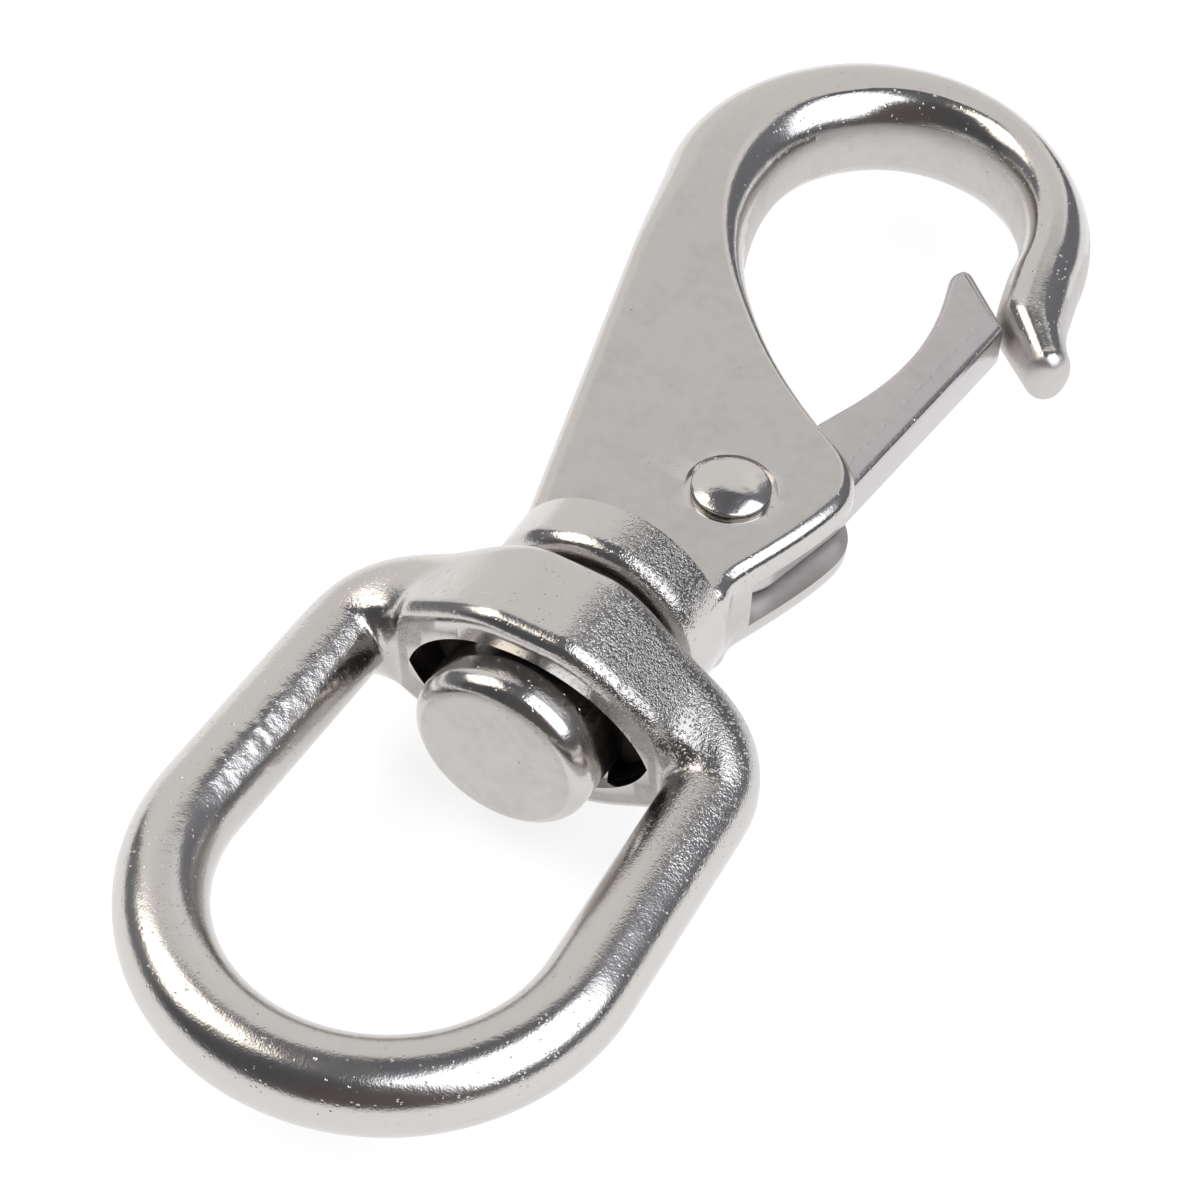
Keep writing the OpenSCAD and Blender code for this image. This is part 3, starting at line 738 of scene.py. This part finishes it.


# %% [markdown]
# The castings are stainless steel, tumbled until the round parts are bright
# and the flat faces stay satin. Four masks make the look, each a number
# painted on the mesh, so that the material follows the form: `satin` on the
# flat faces, `grainy` where the mould's grain was never polished away, a
# mask of painted shade in the folds and behind the button, which darkens
# them towards black where shade falls, and `hammered` along one leg, which
# is a little lumpy. Pits, grain and sparks of bright metal are bumps,
# because in a mirror finish it is their slope that shows, pale on dark and
# dark on pale. Grime is a colour: it dulls the ground between the sparks and
# clouds the flat faces. The gate also has a faint seam along its outer side.

# %% The cast steel finish
def cast_steel(name, colour, seam=None):
    """Bump height = waves + dents + grain + sparks - pits, weighed by masks.
    A seam is a fine ridge along a line in the plan: the normal of the line in
    X and Y, and how far along it the ridge lies."""
    f = Finish(bpy.data.materials.new(name))
    place = f.node("TexCoord", out=3)
    satin, grainy, painted_shade, hammered = [f.node("Attribute", {"attribute_name": mask}, out=2)
                                     for mask in ("satin", "grainy", "painted_shade", "hammered")]

    def noise(per_metre, detail):
        """Soft noise with so many waves in a metre."""
        return f.node("TexNoise", Vector=place, Scale=per_metre, Detail=detail)

    def pits(per_metre, radius, share):
        """Round dips in a share of a Voronoi pattern's cells."""
        cell = f.node("TexVoronoi", {"feature": "F1"}, Vector=place, Scale=per_metre)
        chosen = (cell.twin("Color") * 1.0 + grainy * 0.22).step(share, share + 0.03)
        return (1 - cell.step(0.35 * radius, radius)) * chosen

    cloud = noise(480.0, 3.0)
    blotch = noise(1300.0, 3.0)
    patch = noise(700.0, 3.0).step(0.44, 0.62)
    dips = pits(3600.0, 0.34, 0.72) * (0.35 + 0.65 * patch) + pits(1500.0, 0.2, 0.78)
    flecks = pits(1100.0, 0.14, 0.80)
    raw = grainy.step(0.12, 0.8)
    sparks = pits(4600.0, 0.45, 0.42) * raw
    height = (noise(420.0, 1.0) * (1.0 + 1.0 * grainy)
              + noise(1150.0, 1.0) * (0.4 + 0.8 * grainy + 3.0 * hammered)
              + noise(3900.0, 1.0) * (0.2 + 1.6 * grainy + 0.1 * satin)
              + noise(8200.0, 1.0) * (0.2 + 2.2 * grainy) + 3.2 * sparks
              - 1.3 * dips * (1 - 0.3 * satin))
    if seam:
        normal, offset = seam
        across = f.node("VectorMath", {"operation": "DOT_PRODUCT"}, out=1,
                        _0=place, _1=(*normal, 0))
        half_ridge = 0.00022
        rising = across.step(offset - half_ridge, offset)
        ridge = rising * (1 - across.step(offset, offset + half_ridge))
        height = height + 1.5 * ridge * noise(1900.0, 2.0).step(0.46, 0.6)
    bump = f.node("Bump", Strength=1.0, Distance=0.00002, Height=height)
    rough = 0.14 + 0.25 * satin + 0.07 * cloud + 0.4 * painted_shade + 0.10 * satin * blotch
    grime = (0.48 * raw * (1 - 0.9 * sparks)
             + satin * (0.18 * blotch + 0.22 * cloud + 0.35 * flecks - 0.19))
    # The near-black colour is grime on the unpolished grain and the flats, and painted shade in the
    # seat's folds and round the stem.
    grime_and_shade = f.node("Mix", {"data_type": "RGBA"}, out=2, _0=painted_shade + (1 - painted_shade) * grime,
                  _6=colour, _7=(0.075, 0.066, 0.062, 1))
    return f.finish(f.node("BsdfPrincipled", Base_Color=grime_and_shade, Metallic=1.0,
                           Roughness=rough, Normal=bump))


# %% [markdown]
# To paint a mask, the vertices are read back from the mesh in the drawing's
# millimetres, so the same sizes that shaped a piece also say where its flats,
# folds and patches are.

# %% Read a mesh and paint masks on it
def to_drawing(co):
    """The shared frame's metres back to drawing millimetres."""
    return co.reshape(-1, 3) * 1000.0 - [0, -MID_Y, REST_Z]


def paint(piece, name, values, domain="POINT"):
    """A number for each vertex, or for each face, kept as an attribute."""
    layer = piece.data.attributes.new(name, "FLOAT", domain)
    layer.data.foreach_set("value", np.asarray(values, np.float32))


def face_middles(piece):
    """Middles of the faces, in the drawing's millimetres."""
    middle = np.empty(len(piece.data.polygons) * 3, np.float32)
    piece.data.polygons.foreach_get("center", middle)
    return to_drawing(middle)


def points_and_normals(piece):
    """Vertex places in the drawing's millimetres, and vertex normals."""
    n = len(piece.data.vertices)
    co, no = np.empty(n * 3, np.float32), np.empty(n * 3, np.float32)
    piece.data.vertices.foreach_get("co", co)
    piece.data.vertex_normals.foreach_get("vector", no)
    return to_drawing(co), no.reshape(-1, 3)


def between(v, low, high):
    """Smooth step of v from low to high."""
    return ease((v - low) / (high - low))


def patch_at(co, centre, size):
    """exp(-d^2), with d the distance from a centre, each axis in its own unit."""
    return np.exp(-(((co - centre) / size) ** 2).sum(1))


# %% [markdown]
# On the hook, the flats of the plate and the button's face are satin, and one
# side of the collar keeps a grainy patch. On the eye, the boss's ring side is
# satin and its right side is the roughest place. The gate is matte all over.

# %% Paint the hook, the eye and the gate
co, no = points_and_normals(hook)
above_collar = co[:, 1] > COLLAR_TOP_Y + 0.05
level = between(abs(no[:, 2]), 0.985, 0.9995) * above_collar
face = between(-no[:, 1], 0.8, 0.97) * (co[:, 1] < BUTTON_FACE_Y + 0.1)
bowl_side = between(co[:, 1], BOWL_C[1] - 6, BOWL_C[1] + 6)
slot_wall = (abs(co[:, 2]) < SLOT_W / 2 + 0.01) * above_collar
stem_zone = ((np.hypot(co[:, 0], co[:, 2]) < STEM_D / 2 + 0.2)
             * (co[:, 1] > BUTTON_BACK_Y - 0.1) * (co[:, 1] < COLLAR_Y + 0.1))
paint(hook, "satin", np.maximum.reduce([level * (1 - 0.5 * bowl_side), face, 0.8 * slot_wall]))
paint(hook, "grainy", 1.1 * patch_at(co, (4.0, COLLAR_Y + 2.5, 6.0), (3.0, 1.8, 3.0))
      + 0.06 * (co[:, 1] < COLLAR_TOP_Y) * (co[:, 1] > BUTTON_BACK_Y) + 0.04)
# Painted shade: the stem inside the eye's bore, between the button and the collar, is darkened
# towards black.
paint(hook, "painted_shade", 0.9 * stem_zone)

co, no = points_and_normals(eye)
ring_side = between(-no[:, 1], 0.93, 0.985) * (co[:, 1] > EYE_LEG)
mid = face_middles(eye)
lens_z = np.interp(abs(mid[:, 0]), *lens[:len(lens) // 4][::-1].T, right=0)
folds = ((abs(mid[:, 2]) < lens_z + 0.05) * (abs(mid[:, 0]) > FOLD_X - 0.05)
         * (mid[:, 1] > SEAT_Y + 0.05) * (mid[:, 1] < SEAT_Y + FOLD_DEPTH + 0.1))
rough_cast = (patch_at(co, (7.5, CROSS_Y, 6), (4.5, 4, 6))
              + 0.2 * patch_at(co, (-12, EYE_LEG, 2), (3, 6, 4))
              + 0.3 * patch_at(co, (12.5, EYE_LEG - 3, 2), (2.5, 6, 3)))
paint(eye, "satin", np.clip(0.9 * ring_side + 0.1, 0, 1))
paint(eye, "grainy", np.clip(rough_cast + 0.07 + 0.4 * ring_side, 0, 1))
# Painted shade: the faces of the seat's folds beside the button are darkened towards black.
paint(eye, "painted_shade", 0.95 * folds, "FACE")
paint(eye, "hammered", patch_at(co, (-12.2, 6.5, 1.5), (2.4, 8.0, 2.6)))

co, no = points_and_normals(gate)
paint(gate, "satin", between(abs(no[:, 2]), 0.9, 0.99) * 0.9 + 0.1)
paint(gate, "grainy", 0.05 + 0 * co[:, 0])
paint(gate, "painted_shade", 0 * co[:, 0])

steel = cast_steel("tumbled_cast_steel", (0.585, 0.565, 0.545, 1))
gate_side = unit(GATE_CORNER - GATE_ROOT)
across_gate = np.array([gate_side[1], -gate_side[0]])
SEAM_INSET = 0.0014                  # metres from the outer side to the seam
ridge_at = (to_frame([*GATE_ROOT, 0])[:2] @ across_gate) - SEAM_INSET
matte = cast_steel("matte_cast_steel", (0.56, 0.535, 0.535, 1),
                   (across_gate.tolist(), float(ridge_at)))
for piece, finish in ((hook, steel), (eye, steel), (gate, matte)):
    piece.data.materials.clear()
    piece.data.materials.append(finish)


# %% [markdown]
# The rivet and the spring are not cast. The rivet's domes carry the soft
# dents of the hammer, and the drawn wire is nearly smooth.

# %% Rivet and wire finishes
def worked_steel(name, colour, roughness, dent_depth):
    """Bump height = broad dents with a little fine cloud on them."""
    f = Finish(bpy.data.materials.new(name))
    place = f.node("TexCoord", out=3)
    cloud = f.node("TexNoise", Vector=place, Scale=900.0, Detail=3.0)
    dent = f.node("TexNoise", Vector=place, Scale=620.0, Detail=1.0)
    scuff = f.node("TexNoise", Vector=place, Scale=5200.0, Detail=2.0)
    bump = f.node("Bump", Strength=1.0, Distance=dent_depth,
                  Height=dent + 0.25 * cloud + 0.07 * scuff)
    return f.finish(f.node("BsdfPrincipled", Base_Color=colour, Metallic=1.0,
                           Roughness=roughness + 0.08 * cloud, Normal=bump))


headed = worked_steel("headed_rivet_steel", (0.60, 0.585, 0.565, 1), 0.13, 0.00012)
drawn = worked_steel("drawn_spring_wire", (0.42, 0.41, 0.40, 1), 0.22, 0.00001)
for piece, finish in ((rivet, headed), (spring, drawn)):
    piece.data.materials.clear()
    piece.data.materials.append(finish)
print("materials:", [m.name for m in bpy.data.materials])

# %% [markdown]
# ## The studio
#
# Polished metal shows only what stands round it. A white table, a paper wall
# behind, a soft box on each side and a dim room in front give the bright
# bands and the dark lines between them.

# %% Floor, walls of light and the room
def toward(azimuth, elevation):
    """The direction (cos az cos el, sin az cos el, sin el)."""
    az, el = np.radians([azimuth, elevation])
    return np.array([np.cos(az) * np.cos(el), np.sin(az) * np.cos(el), np.sin(el)])


def soft_box(name, azimuth, elevation, distance, width, height, strength, colour=(1, 1, 1)):
    """A rectangle of light that faces the object; azimuth is counted from +X."""
    data = bpy.data.lights.new(name, "AREA")
    data.shape, data.size, data.size_y = "RECTANGLE", width, height
    data.energy = strength * width * height * np.pi
    data.color = colour
    lamp = bpy.data.objects.new(name, data)
    back = toward(azimuth, elevation)
    side = toward(azimuth + 90, 0)
    matrix = np.eye(4)
    matrix[:3, 0], matrix[:3, 1], matrix[:3, 2] = side, np.cross(back, side), back
    matrix[:3, 3] = back * distance
    lamp.matrix_world = Matrix(matrix.tolist())
    lamp.visible_camera = False
    bpy.context.scene.collection.objects.link(lamp)


soft_box("warm_box_left", 198, 49, 0.8, 0.48, 0.56, 2.7, (1.0, 0.95, 0.87))
soft_box("white_box_right", -2, 50, 0.7, 0.72, 0.72, 2.6, (0.95, 0.98, 1.04))
soft_box("paper_wall", 127, 28, 0.7, 1.02, 0.96, 0.83, (1.0, 0.98, 0.955))

floor_mesh = bpy.data.meshes.new("table")
floor_mesh.from_pydata([(-2, -2, 0), (2, -2, 0), (2, 2, 0), (-2, 2, 0)], [], [(0, 1, 2, 3)])
floor = bpy.data.objects.new("table", floor_mesh)
bpy.context.scene.collection.objects.link(floor)
f = Finish(bpy.data.materials.new("white_table"))
floor_mesh.materials.append(f.finish(f.node(
    "BsdfPrincipled", Base_Color=(0.38, 0.38, 0.385, 1), Roughness=0.8,
    Emission_Color=(1, 1, 1, 1), Emission_Strength=0.76)))

f = Finish(bpy.data.worlds.new("dim_room"))
way = f.node("TexCoord", out=0)


def glow(azimuth, elevation, edge, middle, strength):
    """A soft patch of the room: the cosine to its middle, eased between two values."""
    near = f.node("VectorMath", {"operation": "DOT_PRODUCT"}, out=1,
                  _0=way, _1=toward(azimuth, elevation).tolist())
    return near.step(edge, middle) * strength


amber = glow(305, 15, 0.6, 1.0, 0.035)
pale = (0.09 + glow(0, 90, 0.8, 1.0, 0.05) + glow(62, 28, 0.75, 0.98, 0.12)
        + glow(186, 12, 0.85, 1.0, 0.10))
colour = f.node("CombineColor", _0=pale + amber, _1=1.02 * pale + 0.45 * amber, _2=1.13 * pale)
bpy.context.scene.world = f.finish(f.node("Background", Color=colour, Strength=1.0), "OutputWorld")
bpy.context.scene.view_settings.view_transform = "Standard"

# %% [markdown]
# ## Putting it together
#
# Each surface stands for one CAD node and rides on that node's body, so the
# eye turns and the gate swings with the CAD joints.

# %% Ride and replace
for piece, body, node, slot in (
        (hook, "hook", "hook_body", "cast_steel"), (eye, "eye", "swivel_eye", "cast_steel"),
        (gate, "gate", "gate", "cast_steel"), (rivet, "hook", "gate_rivet", "rivet_steel"),
        (spring, "hook", "gate_spring", "spring_steel")):
    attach(piece, body)
    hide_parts(node)

bpy.context.view_layer.update()
